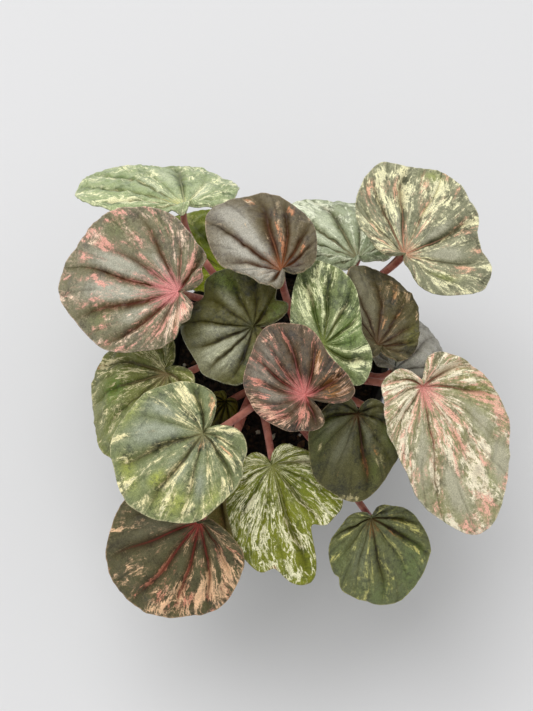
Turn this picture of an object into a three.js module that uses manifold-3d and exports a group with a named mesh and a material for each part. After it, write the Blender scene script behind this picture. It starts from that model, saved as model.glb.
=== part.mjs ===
// A pink lady peperomia in a small round nursery pot.
// Millimetres, +Z up, origin at the centre of the pot's flat underside.
// The pot holds soil, four short stems stand in the soil, and each stem carries a spray of petioles.
// Every petiole ends just under the middle of one quilted, heart-shaped blade.
import * as THREE from 'three';
import { mergeVertices } from 'three/addons/utils/BufferGeometryUtils.js';
import Module from 'manifold-3d';

const wasm = await Module();
wasm.setup();

// Clearance between pieces that touch on the real plant, a little more where one is a many-sided round
const GAP = 0.3;
const ROUND_GAP = 0.5;

// Pot: a tapered thin wall with a rolled band round its mouth and holes round its floor
const POT_HEIGHT = 80;
const POT_RIM_RADIUS = 45;
const POT_FOOT_RADIUS = 32;
const POT_WALL = 1.6;
const POT_FLOOR = 2.4;
const RIM_BAND_HEIGHT = 9;
const RIM_BAND_STEP = 1.6;
const FOOT_ROUND = 2.5;
const POT_SIDES = 48;
const DRAIN_HOLES = 6;
const DRAIN_RADIUS = 3.5;
const DRAIN_CIRCLE = 22;

// Soil: fills the pot to a little under the rim, with a lumpy top
const SOIL_TOP = 72;
const SOIL_LUMP = 1.3;
const SOIL_SIDES = 36;
const SOIL_RINGS = 6;

// Stems: short stubs rooted in the soil, where the petioles spring from
const STEM_RADIUS = 4.2;
const STEM_DEPTH = 18;
const STEM_HEIGHT = 4;
const STEM_SIDES = 10;
const STEMS = {
  stem_back_left: [-9, 8],
  stem_back_right: [10, 9],
  stem_front_left: [-8, -10],
  stem_front_right: [10, -9],
};

// Petioles: from ROOT to TIP radius, leaving the stem upwards and meeting the blade square on
const PETIOLE_ROOT = 1.7;
const PETIOLE_TIP = 1.25;
const PETIOLE_SIDES = 6;
const PETIOLE_STEPS = 9;
const PETIOLE_RISE = 0.5;
const PETIOLE_HOOK = 0.28;

// Blades: main veins leave the join at these angles from the tip, once round to the left, unless the blade
// gives its own, and bend towards the tip on their way out. The surface bulges between them.
const VEINS = [0, 27, 57, 94, 138, 180, -138, -94, -57, -27];
const VEIN_SWEEP = 0.22;
const QUILT = 0.6;
const BLADE_THICKNESS = 1.0;
const SPOKES_PER_GAP = 3;
const BLADE_RINGS = 4;
const BULGE = 3.2;
const FUNNEL = 2.0;
const DROOP = 3.2;
const RIPPLE = 0.8;
const RIPPLE_WAVES = 7;
const SCALLOP = 0.015;
const TIP_POINT = 0.05;

// Each blade: join = where the petiole meets it; faces = compass direction and tilt of its upper side;
// heading = compass direction of its tip; long and wide = its oval; ahead = how far the oval's middle lies
// ahead of the join. notch = depth and half width of the cleft behind the join, clefts = further ones.
// skew makes the left half fuller (+) or narrower (-), and fold lifts both halves from the midvein.
// veins = the angles of its main veins, and relief = how strongly it is quilted.
// rise, hook, bow and comes steer the petiole clear of its neighbours: how high it starts out, how square
// it arrives, how far it leans sideways, and how far off square (along, left) it reaches the blade.
const BLADES = [
  {
    name: 'blade_back_left', stem: 'stem_back_left', join: [-36, 50, 117],
    faces: [80, 42], heading: 118, long: 58, wide: 66, ahead: 18, notch: [0.8, 24], rise: 0.7,
    clefts: [[-75, -0.06, 25], [-30, -0.12, 26]], veins: [14, 46, 80, 122, 180, -140, -98, -64, -36, -11],
  },
  {
    name: 'blade_left_back', stem: 'stem_back_left', join: [-36, 6, 136],
    faces: [205, 25], heading: 166, long: 61, wide: 54, ahead: 19, skew: -0.04, bow: -8,
    clefts: [[-45, -0.03, 30], [128, 0.14, 16]], veins: [-2, 28, 60, 92, 132, 180, -140, -96, -58, -24],
  },
  {
    name: 'blade_back_low', stem: 'stem_back_left', join: [-17, 32, 92],
    faces: [110, 22], heading: 119, long: 56, wide: 42, ahead: 17,
  },
  {
    name: 'blade_top_back', stem: 'stem_back_right', join: [1, 7, 153],
    faces: [110, 10], heading: 128, long: 47, wide: 43, ahead: 15, relief: 1.15,
    clefts: [[80, 0.45, 55]], veins: [16, 52, 95, 138, 180, -146, -112, -84, -54, -28],
  },
  {
    name: 'blade_back', stem: 'stem_back_right', join: [30.2, 25, 123],
    faces: [85, 30], heading: 105, long: 53, wide: 49, ahead: 18, skew: 0.12, comes: [0, 4],
  },
  {
    name: 'blade_back_right', stem: 'stem_back_right', join: [46, 19, 140],
    faces: [350, 12], heading: 53, long: 51, wide: 59, ahead: 11, notch: [0.9, 55], hook: 0.42, bow: 4,
    clefts: [[-37, 0.2, 13], [-74, -0.05, 14], [48, -0.05, 20], [108, 0.14, 32]],
    veins: [14, 44, 72, 99, 130, 180, -106, -70, -30],
  },
  {
    name: 'blade_middle_left', stem: 'stem_back_left', join: [-9, -6, 132],
    faces: [200, 18], heading: 166, long: 41, wide: 45, ahead: 6.5,
    clefts: [[42, 0.06, 14], [-20, 0.16, 9], [-120, 0.26, 13], [-150, -0.1, 20]],
    veins: [8, 38, 70, 102, 140, 180, -140, -98, -60, -24],
  },
  {
    name: 'blade_middle_right', stem: 'stem_back_right', join: [16, -16, 141],
    faces: [270, 12], heading: 97, long: 53, wide: 29, ahead: 2, skew: -0.28, fold: 0.3,
    clefts: [[-78, 0.26, 34]], veins: [-16, 10, 40, 82, 132, 180, -150, -112, -74, -42],
  },
  {
    name: 'blade_top_middle', stem: 'stem_front_right', join: [9, -38, 150],
    faces: [230, 16], heading: 112, long: 39, wide: 40, ahead: 7, skew: -0.1, notch: [0, 24],
    clefts: [[-62, 0.36, 36], [-146, 0.72, 15]], veins: [-9, 16, 37, 60, 96, 138, 180, -146, -106, -48],
  },
  {
    name: 'blade_right_folded', stem: 'stem_back_right', join: [36, -13, 132],
    faces: [20, 22], heading: 95, long: 42, wide: 31, ahead: 11.5, skew: -0.15, fold: 0.35,
    clefts: [[-75, 0.1, 30], [-32, 0.08, 14]], veins: [-11, 20, 56, 102, 180, -150, -114, -76, -42],
  },
  {
    name: 'blade_right_low', stem: 'stem_back_right', join: [43, -17, 116],
    faces: [30, 38], heading: 42, long: 47, wide: 37, ahead: 14,
  },
  {
    name: 'blade_front_right', stem: 'stem_front_right', join: [51, -30, 135],
    faces: [320, 24], heading: 298, long: 63, wide: 50, ahead: 20, skew: 0.06,
    clefts: [[-55, 0.18, 34], [-36, 0.05, 12], [1, -0.07, 12], [-125, -0.14, 24]],
    veins: [-17, 13, 43, 74, 114, 180, -150, -112, -70, -40],
  },
  {
    name: 'blade_front_middle', stem: 'stem_front_right', join: [28, -39, 132],
    faces: [280, 22], heading: 268, long: 37, wide: 34, ahead: 11.5,
    clefts: [[38, 0.08, 20]], veins: [13, 48, 90, 136, 180, -140, -95, -50, -19],
  },
  {
    name: 'blade_front_low', stem: 'stem_front_left', join: [34, -70, 104],
    faces: [285, 30], heading: 282, long: 39, wide: 38, ahead: 14, skew: 0.08, notch: [0.7, 33],
    clefts: [[-38, 0.08, 4]],
  },
  {
    name: 'blade_front_lobed', stem: 'stem_front_left', join: [-2, -54, 118],
    faces: [265, 22], heading: 285, long: 52, wide: 42, ahead: 18, relief: 0.6,
    clefts: [[16, 0.36, 9], [30, 0.16, 12], [-15, 0.1, 5]],
  },
  {
    name: 'blade_front_left', stem: 'stem_front_right', join: [-26, -48, 138],
    faces: [220, 18], heading: 215, long: 51, wide: 48, ahead: 11,
    clefts: [[2, 0.06, 18]], veins: [20, 48, 76, 106, 142, 180, -142, -104, -62, -22],
  },
  {
    name: 'blade_left', stem: 'stem_back_left', join: [-41, -17, 112],
    faces: [190, 35], heading: 206, long: 52, wide: 54, ahead: 14,
  },
  {
    name: 'blade_front_left_low', stem: 'stem_front_left', join: [-28, -73, 112],
    faces: [245, 32], heading: 234, long: 52, wide: 58, ahead: 13, notch: [0.9, 75],
    clefts: [[-17, -0.12, 18], [60, 0.08, 20]], veins: [-3, 25, 52, 84, 122, 180, -120, -72, -36],
  },
  {
    name: 'blade_young', stem: 'stem_front_left', join: [-20, -19, 84],
    faces: [250, 12], heading: 235, long: 16, wide: 14, ahead: 4, size: 'small',
  },
  {
    name: 'blade_skirt_back', stem: 'stem_back_right', join: [15, 44, 98],
    faces: [83, 54], heading: 84, long: 44, wide: 40, ahead: 13, size: 'small',
  },
  {
    name: 'blade_skirt_left', stem: 'stem_back_left', join: [-50, 31, 98],
    faces: [165, 42], heading: 160, long: 42, wide: 40, ahead: 13, size: 'small', bow: 12,
  },
  {
    name: 'blade_skirt_right', stem: 'stem_front_right', join: [56, -33, 98],
    faces: [350, 40], heading: 340, long: 44, wide: 40, ahead: 13, size: 'small',
  },
  {
    name: 'blade_skirt_front', stem: 'stem_front_left', join: [-22, -51, 92],
    faces: [250, 30], heading: 250, long: 40, wide: 38, ahead: 12, size: 'small',
  },
  {
    name: 'blade_skirt_back_right', stem: 'stem_back_right', join: [52, 42, 100],
    faces: [60, 48], heading: 55, long: 42, wide: 40, ahead: 12, size: 'small',
  },
];

const rad = THREE.MathUtils.degToRad;

// A closed geometry as a solid that can be joined and cut
function toSolid(geometry) {
  const bare = geometry.clone();
  bare.deleteAttribute('normal');
  bare.deleteAttribute('uv');
  const merged = mergeVertices(bare, 1e-4);
  return new wasm.Manifold(new wasm.Mesh({
    numProp: 3,
    vertProperties: new Float32Array(merged.attributes.position.array),
    triVerts: new Uint32Array(merged.index.array),
  }));
}

// A joined or cut solid as a geometry again
function toGeometry(solid) {
  const mesh = solid.getMesh();
  const geometry = new THREE.BufferGeometry();
  geometry.setAttribute('position', new THREE.BufferAttribute(new Float32Array(mesh.vertProperties), 3));
  geometry.setIndex(new THREE.BufferAttribute(new Uint32Array(mesh.triVerts), 1));
  geometry.computeVertexNormals();
  return geometry;
}

// A geometry from a list of points and a list of triangles
function fromTriangles(points, triangles) {
  const geometry = new THREE.BufferGeometry();
  geometry.setAttribute('position', new THREE.Float32BufferAttribute(points.flat(), 3));
  geometry.setIndex(triangles.flat());
  geometry.computeVertexNormals();
  return geometry;
}

// An upright cylinder with its foot at (x, y, low)
function uprightCylinder(x, y, low, high, radius, sides) {
  const cylinder = new THREE.CylinderGeometry(radius, radius, high - low, sides);
  cylinder.rotateX(Math.PI / 2);
  cylinder.translate(x, y, (low + high) / 2);
  return cylinder;
}

// Outer radius of the pot's plain tapered wall at height z
function potWallRadius(z) {
  const mouth = POT_RIM_RADIUS - RIM_BAND_STEP;
  return POT_FOOT_RADIUS + (mouth - POT_FOOT_RADIUS) * (z / POT_HEIGHT);
}

function makePot() {
  const bandFoot = POT_HEIGHT - RIM_BAND_HEIGHT;
  const inside = (z) => potWallRadius(z) - POT_WALL;
  const profile = [
    [0, 0],
    [POT_FOOT_RADIUS - FOOT_ROUND, 0],
    [POT_FOOT_RADIUS - FOOT_ROUND * 0.3, FOOT_ROUND * 0.3],
    [potWallRadius(FOOT_ROUND), FOOT_ROUND],
    [potWallRadius(bandFoot - 1), bandFoot - 1],
    [POT_RIM_RADIUS - 0.4, bandFoot],
    [POT_RIM_RADIUS, bandFoot + 1],
    [POT_RIM_RADIUS, POT_HEIGHT - 1],
    [POT_RIM_RADIUS - 0.5, POT_HEIGHT],
    [inside(POT_HEIGHT) + 0.5, POT_HEIGHT],
    [inside(POT_HEIGHT - 1), POT_HEIGHT - 1],
    [inside(POT_FLOOR), POT_FLOOR],
    [0, POT_FLOOR],
  ];
  const points = profile.map(([x, y]) => new THREE.Vector2(x, y));
  const shell = new THREE.LatheGeometry(points, POT_SIDES);
  shell.rotateX(Math.PI / 2);
  let pot = toSolid(shell);
  for (let i = 0; i < DRAIN_HOLES; i += 1) {
    const turn = (i + 0.5) * (2 * Math.PI / DRAIN_HOLES);
    const x = DRAIN_CIRCLE * Math.cos(turn);
    const y = DRAIN_CIRCLE * Math.sin(turn);
    pot = pot.subtract(toSolid(uprightCylinder(x, y, -1, POT_FLOOR + 1, DRAIN_RADIUS, 12)));
  }
  return toGeometry(pot);
}

// Height of the soil's top: low waves that cross each other, drawn down a little at the pot's wall
function soilHeight(x, y, share) {
  const waves = Math.sin(x * 0.31 + 1.3) * Math.cos(y * 0.27 - 0.4) + 0.6 * Math.sin(x * 0.55 - y * 0.47);
  return SOIL_TOP + SOIL_LUMP * waves * (1 - share ** 4) - 1.5 * share ** 3;
}

function makeSoil() {
  const low = POT_FLOOR + GAP;
  const side = (z) => potWallRadius(z) - POT_WALL - ROUND_GAP;
  const points = [[0, 0, low], [0, 0, soilHeight(0, 0, 0)]];
  const triangles = [];
  const levels = [];
  for (let ring = 0; ring <= SOIL_RINGS; ring += 1) {
    const bottom = ring === SOIL_RINGS;
    const share = bottom ? 1 : (ring + 1) / SOIL_RINGS;
    const reach = bottom ? side(low) : side(SOIL_TOP - 2) * share;
    const level = [];
    for (let i = 0; i < SOIL_SIDES; i += 1) {
      const turn = (i / SOIL_SIDES) * 2 * Math.PI;
      const x = reach * Math.cos(turn);
      const y = reach * Math.sin(turn);
      level.push(points.length);
      points.push([x, y, bottom ? low : soilHeight(x, y, share)]);
    }
    levels.push(level);
  }
  for (let i = 0; i < SOIL_SIDES; i += 1) {
    const next = (i + 1) % SOIL_SIDES;
    triangles.push([1, levels[0][i], levels[0][next]]);
    triangles.push([0, levels[SOIL_RINGS][next], levels[SOIL_RINGS][i]]);
    for (let ring = 0; ring < SOIL_RINGS; ring += 1) {
      triangles.push([levels[ring][i], levels[ring + 1][i], levels[ring + 1][next]]);
      triangles.push([levels[ring][i], levels[ring + 1][next], levels[ring][next]]);
    }
  }
  let soil = toSolid(fromTriangles(points, triangles));
  for (const [x, y] of Object.values(STEMS)) {
    const foot = SOIL_TOP - STEM_DEPTH - GAP;
    const hole = uprightCylinder(x, y, foot, SOIL_TOP + 20, STEM_RADIUS + ROUND_GAP, STEM_SIDES);
    soil = soil.subtract(toSolid(hole));
  }
  return toGeometry(soil);
}

// The blade's own directions: along towards its tip, left across it, and out of its upper side
function bladeDirections(blade) {
  const [compass, tilt] = blade.faces.map(rad);
  const up = new THREE.Vector3(
    Math.sin(tilt) * Math.cos(compass),
    Math.sin(tilt) * Math.sin(compass),
    Math.cos(tilt),
  );
  const turn = rad(blade.heading);
  const along = new THREE.Vector3(Math.cos(turn), Math.sin(turn), 0);
  along.addScaledVector(up, -along.dot(up)).normalize();
  const left = new THREE.Vector3().crossVectors(up, along);
  return { along, left, up };
}

// Distance from the join to the blade's edge, at an angle from the tip
function edgeRadius(blade, angle) {
  const halfLong = blade.long / 2;
  const halfWide = blade.wide / 2;
  const c = Math.cos(angle);
  const s = Math.sin(angle);
  const a = (c / halfLong) ** 2 + (s / halfWide) ** 2;
  const b = -2 * c * blade.ahead / halfLong ** 2;
  const k = (blade.ahead / halfLong) ** 2 - 1;
  let reach = (-b + Math.sqrt(Math.max(b * b - 4 * a * k, 0))) / (2 * a);
  reach *= 1 + (blade.skew ?? 0) * s;
  const degrees = THREE.MathUtils.radToDeg(angle);
  const [depth, width] = blade.notch ?? [0.75, 24];
  for (const [at, deep, wide] of [[180, depth, width], ...(blade.clefts ?? [])]) {
    const away = Math.abs(((degrees - at + 540) % 360) - 180);
    reach *= 1 - deep * Math.exp(-((away / wide) ** 2));
  }
  reach *= 1 + TIP_POINT * Math.exp(-((degrees / 14) ** 2));
  return reach * (1 + SCALLOP * Math.sin(9 * angle));
}

// Height of the upper side over the blade's own plane. share runs from 0 at the join to 1 at the edge,
// and between from 0 to 1 across the gap between two veins.
function bladeHeight(blade, angle, share, between, gap, ahead, across) {
  const bulge = Math.abs(Math.sin(Math.PI * between)) ** QUILT;
  const away = Math.hypot(ahead, across) / (0.7 * blade.long);
  const room = ((gap[1] - gap[0]) / 40) ** 0.7;
  const quilted = BULGE * (blade.relief ?? 1) * room;
  const folded = (blade.fold ?? 0) * (Math.hypot(across, 0.08 * blade.long) - 0.08 * blade.long);
  return quilted * bulge * share ** 0.8 * (1 - 0.65 * share ** 3)
    + FUNNEL * (1 - Math.exp(-((share * 3) ** 2)))
    + RIPPLE * share ** 5 * Math.sin(RIPPLE_WAVES * angle)
    - DROOP * away ** 2.5
    + folded;
}

// The gaps between a blade's main veins, each from its first to its last angle
function veinGaps(blade) {
  const veins = blade.veins ?? VEINS;
  return veins.map((from, i) => {
    const to = veins[(i + 1) % veins.length];
    return [to < from ? from - 360 : from, to];
  });
}

// The spokes of a blade's grid, once round: vein gap, and place in it from 0 to 1
function bladeSpokes(blade, perGap) {
  const spokes = [];
  for (const gap of veinGaps(blade)) {
    for (let i = 0; i < perGap; i += 1) {
      spokes.push([gap, i / perGap]);
    }
  }
  return spokes;
}

// A vein's angle at a share of the way out. The one behind the join stays straight.
function bentVein(degrees, share) {
  const straight = Math.abs(degrees) === 180;
  return rad(degrees) * (straight ? 1 : 1 - VEIN_SWEEP * share);
}

// Two like faces a blade's thickness apart, with the same triangles, closed by a strip round the edge
function makeBlade(blade) {
  const small = blade.size === 'small';
  const rings = small ? BLADE_RINGS - 1 : BLADE_RINGS;
  const spokes = bladeSpokes(blade, small ? SPOKES_PER_GAP - 1 : SPOKES_PER_GAP);
  const { along, left, up } = bladeDirections(blade);
  const join = new THREE.Vector3(...blade.join);
  const place = (x, y, z) => join.clone()
    .addScaledVector(along, x)
    .addScaledVector(left, y)
    .addScaledVector(up, z)
    .toArray();
  const points = [place(0, 0, 0), place(0, 0, -BLADE_THICKNESS)];
  const top = [];
  for (let ring = 1; ring <= rings; ring += 1) {
    const share = (ring / rings) ** 0.9;
    const level = [];
    for (const [gap, between] of spokes) {
      const low = bentVein(gap[0], share);
      const high = bentVein(gap[1], share);
      const angle = low + between * (high - low);
      const reach = edgeRadius(blade, angle) * share;
      const x = reach * Math.cos(angle);
      const y = reach * Math.sin(angle);
      const z = bladeHeight(blade, angle, share, between, gap, x, y);
      level.push(points.length);
      points.push(place(x, y, z), place(x, y, z - BLADE_THICKNESS));
    }
    top.push(level);
  }
  const triangles = [];
  const bothFaces = (a, b, c) => {
    triangles.push([a, b, c], [a + 1, c + 1, b + 1]);
  };
  const count = spokes.length;
  for (let i = 0; i < count; i += 1) {
    const next = (i + 1) % count;
    bothFaces(0, top[0][i], top[0][next]);
    for (let ring = 1; ring < rings; ring += 1) {
      bothFaces(top[ring - 1][i], top[ring][i], top[ring][next]);
      bothFaces(top[ring - 1][i], top[ring][next], top[ring - 1][next]);
    }
    const edge = top[rings - 1];
    triangles.push([edge[i], edge[i] + 1, edge[next] + 1], [edge[i], edge[next] + 1, edge[next]]);
  }
  return fromTriangles(points, triangles);
}

// The petiole's curve: up out of the stem, over towards its blade, and square into its underside
function petioleCurve(blade) {
  const { along, left, up } = bladeDirections(blade);
  const [stemX, stemY] = STEMS[blade.stem];
  const tip = new THREE.Vector3(...blade.join).addScaledVector(up, -BLADE_THICKNESS - GAP);
  const lean = Math.atan2(tip.y - stemY, tip.x - stemX);
  const start = new THREE.Vector3(
    stemX + STEM_RADIUS * 0.4 * Math.cos(lean),
    stemY + STEM_RADIUS * 0.4 * Math.sin(lean),
    SOIL_TOP + 1,
  );
  const reach = start.distanceTo(tip);
  const out = new THREE.Vector3(tip.x - start.x, tip.y - start.y, 0);
  const sideways = new THREE.Vector3(-out.y, out.x, 0).normalize();
  const rise = (blade.rise ?? PETIOLE_RISE) * reach;
  const first = start.clone().addScaledVector(out, 0.15).addScaledVector(sideways, blade.bow ?? 0);
  first.z += rise;
  const last = tip.clone()
    .addScaledVector(up, -(blade.hook ?? PETIOLE_HOOK) * reach)
    .addScaledVector(along, (blade.comes?.[0] ?? 0))
    .addScaledVector(left, (blade.comes?.[1] ?? 0));
  return new THREE.CubicBezierCurve3(start, first, last, tip);
}

// A tapering tube along the petiole's curve
function makePetiole(blade) {
  const curve = petioleCurve(blade);
  const circle = new THREE.Shape();
  circle.absarc(0, 0, 1, 0, 2 * Math.PI);
  const tube = new THREE.ExtrudeGeometry(circle, {
    steps: PETIOLE_STEPS,
    curveSegments: PETIOLE_SIDES / 2,
    bevelEnabled: false,
    extrudePath: curve,
  });
  const position = tube.attributes.position;
  const centres = [];
  for (let i = 0; i <= PETIOLE_STEPS; i += 1) {
    centres.push(curve.getPointAt(i / PETIOLE_STEPS));
  }
  const point = new THREE.Vector3();
  for (let i = 0; i < position.count; i += 1) {
    point.fromBufferAttribute(position, i);
    let nearest = 0;
    for (let step = 1; step <= PETIOLE_STEPS; step += 1) {
      if (point.distanceTo(centres[step]) < point.distanceTo(centres[nearest])) {
        nearest = step;
      }
    }
    const radius = PETIOLE_ROOT + (PETIOLE_TIP - PETIOLE_ROOT) * (nearest / PETIOLE_STEPS);
    point.sub(centres[nearest]).multiplyScalar(radius).add(centres[nearest]);
    position.setXYZ(i, point.x, point.y, point.z);
  }
  return tube;
}

// A short stem with every petiole that springs from it, joined as one body
function makeStem(name) {
  const [x, y] = STEMS[name];
  const foot = SOIL_TOP - STEM_DEPTH;
  const stub = uprightCylinder(x, y, foot, SOIL_TOP + STEM_HEIGHT, STEM_RADIUS, STEM_SIDES);
  let stem = toSolid(stub);
  for (const blade of BLADES) {
    if (blade.stem === name) {
      stem = stem.add(toSolid(makePetiole(blade)));
    }
  }
  return toGeometry(stem);
}

// Finishes
const POT_PLASTIC = { color: '#1b1c1d', roughness: 0.5, metalness: 0 };
const POTTING_MIX = { color: '#241c16', roughness: 1, metalness: 0 };
const PETIOLE_SKIN = { color: '#a5564f', roughness: 0.5, metalness: 0 };
const BLADE_COLOURS = {
  blade_back_left: '#9fae86',
  blade_left_back: '#8b7d66',
  blade_back_low: '#9fa452',
  blade_top_back: '#5f574a',
  blade_back: '#93a184',
  blade_back_right: '#9aa083',
  blade_middle_left: '#5a6249',
  blade_middle_right: '#93a36d',
  blade_top_middle: '#6b5a55',
  blade_right_folded: '#565146',
  blade_right_low: '#6d776f',
  blade_front_right: '#b39c88',
  blade_front_middle: '#55573f',
  blade_front_low: '#586342',
  blade_front_lobed: '#8b9a55',
  blade_front_left: '#8d9a76',
  blade_left: '#6b7a48',
  blade_front_left_low: '#6e5b47',
  blade_young: '#4a5a33',
  blade_skirt_back: '#6d7554',
  blade_skirt_left: '#66704c',
  blade_skirt_right: '#6f7459',
  blade_skirt_front: '#5d6a45',
  blade_skirt_back_right: '#6a7350',
};
const BLADE_FINISH = { roughness: 0.42, metalness: 0 };

const plant = new THREE.Group();

function addPiece(name, geometry, finish) {
  const mesh = new THREE.Mesh(geometry, new THREE.MeshStandardMaterial(finish));
  mesh.name = name;
  plant.add(mesh);
}

addPiece('pot', makePot(), POT_PLASTIC);
addPiece('soil', makeSoil(), POTTING_MIX);
for (const name of Object.keys(STEMS)) {
  addPiece(name, makeStem(name), PETIOLE_SKIN);
}
for (const blade of BLADES) {
  addPiece(blade.name, makeBlade(blade), { color: BLADE_COLOURS[blade.name], ...BLADE_FINISH });
}

export default plant;
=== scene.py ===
"""A pink lady peperomia in a small round nursery pot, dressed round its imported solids."""
import math
import random
from types import SimpleNamespace

import bmesh
import bpy
import numpy as np
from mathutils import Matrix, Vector


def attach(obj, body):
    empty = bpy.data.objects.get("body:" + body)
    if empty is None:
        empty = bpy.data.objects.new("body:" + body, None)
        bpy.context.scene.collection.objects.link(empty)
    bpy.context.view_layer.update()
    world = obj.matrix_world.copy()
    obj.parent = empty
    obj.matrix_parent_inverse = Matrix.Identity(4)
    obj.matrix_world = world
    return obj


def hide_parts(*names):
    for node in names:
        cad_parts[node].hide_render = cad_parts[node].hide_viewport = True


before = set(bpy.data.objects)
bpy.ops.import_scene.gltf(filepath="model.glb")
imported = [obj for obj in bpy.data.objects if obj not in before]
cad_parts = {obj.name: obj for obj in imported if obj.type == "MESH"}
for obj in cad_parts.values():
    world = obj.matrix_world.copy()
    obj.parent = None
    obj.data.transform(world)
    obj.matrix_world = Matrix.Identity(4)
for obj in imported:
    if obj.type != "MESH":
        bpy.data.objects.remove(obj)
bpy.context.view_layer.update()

MM = 0.001

# Sizes of the pot, soil and stems, in mm
POT_HEIGHT = 80
POT_RIM_RADIUS = 45
POT_FOOT_RADIUS = 32
POT_WALL = 1.6
POT_FLOOR = 2.4
POT_SIDES = 128
RIM_BAND_HEIGHT = 9
RIM_BAND_STEP = 1.6
DRAIN_HOLES = 6
DRAIN_RADIUS = 3.5
DRAIN_CIRCLE = 22
SOIL_TOP = 72
SOIL_DEPTH = 66
SOIL_LUMP = 1.3
SOIL_SPREAD = 41
LITTER_REACH = 37.8
STEM_RADIUS = 4.2
STEM_DEPTH = 18
STEM_HEIGHT = 4
STEMS = {
    "stem_back_left": (-9, 8),
    "stem_back_right": (10, 9),
    "stem_front_left": (-8, -10),
    "stem_front_right": (10, -9),
}
PETIOLE_ROOT = 1.7
PETIOLE_TIP = 1.25
PETIOLE_RISE = 0.5
PETIOLE_HOOK = 0.28
PETIOLE_GAP = 0.3
PETIOLE_SINK = 0.55

# The form of a blade, in mm and degrees. Veins are angles from the tip, once round to the left.
VEINS = (0, 27, 57, 94, 138, 180, -138, -94, -57, -27)
VEIN_SWEEP = 0.22
VEIN_SWAY = 0.035
VEIN_FORCES = (0.45, 0.7, 1.0, 1.0)
FAR_FROM_VEIN = 3.0
BLADE_THICKNESS = 1.0
SPOKES_PER_GAP = 14
RINGS = 46
QUILT = 0.85
BULGE = 3.4
FUNNEL = 2.0
DROOP = 3.2
RIPPLE = 0.8
RIPPLE_WAVES = 7
SCALLOP = 0.015
RAGGED = 0.011
TIP_POINT = 0.05
RIM_BEVEL = 0.32

# How strongly the grain, its clumps and the mask decide where a mark covers the skin
GRAIN_WEIGHT = 2.9
CLUMP_WEIGHT = 1.7
MASK_WEIGHT = 0.8
MARK_LEVEL = -2.57
MARK_KINDS = ("cream", "blush", "amber", "lush", "frost")
OCHRE = "#96683a"
VEIN_BROWN = "#57290f"
CLEAR_GREEN = "#5c7822"

# The photograph's camera, and the light over the floor
VIEW_TARGET = (-4, -12.7, 120)
VIEW_RISE = 70
VIEW_DISTANCE = 480
VIEW_LENS = 66.1
FLOOR_SIZE = 14.0
SKY_STRENGTH = 0.62
WINDOW_PLACE = (-0.4, 0.52, 1.92)
WINDOW_AIM = (0, 0, 0.1)
WINDOW_SIZE = 1.5
WINDOW_POWER = 21.0

# The colours that every blade has: its ground in two tones, then its quilts (silver that also stands in for
# painted sheen), marks and veins
TONES = ("deep", "fresh", "silver", "pale", "flush", "vein")


def blade(stem, join, faces, heading, oval, tones, **more):
    """A blade's row in the table: its place, its oval, its tones, and what else it has."""
    place = {"stem": "stem_" + stem, "join": join, "faces": faces, "heading": heading}
    sizes = dict(zip(("long", "wide", "ahead"), oval))
    return {**place, **sizes, **dict(zip(TONES, tones)), **more}
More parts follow.
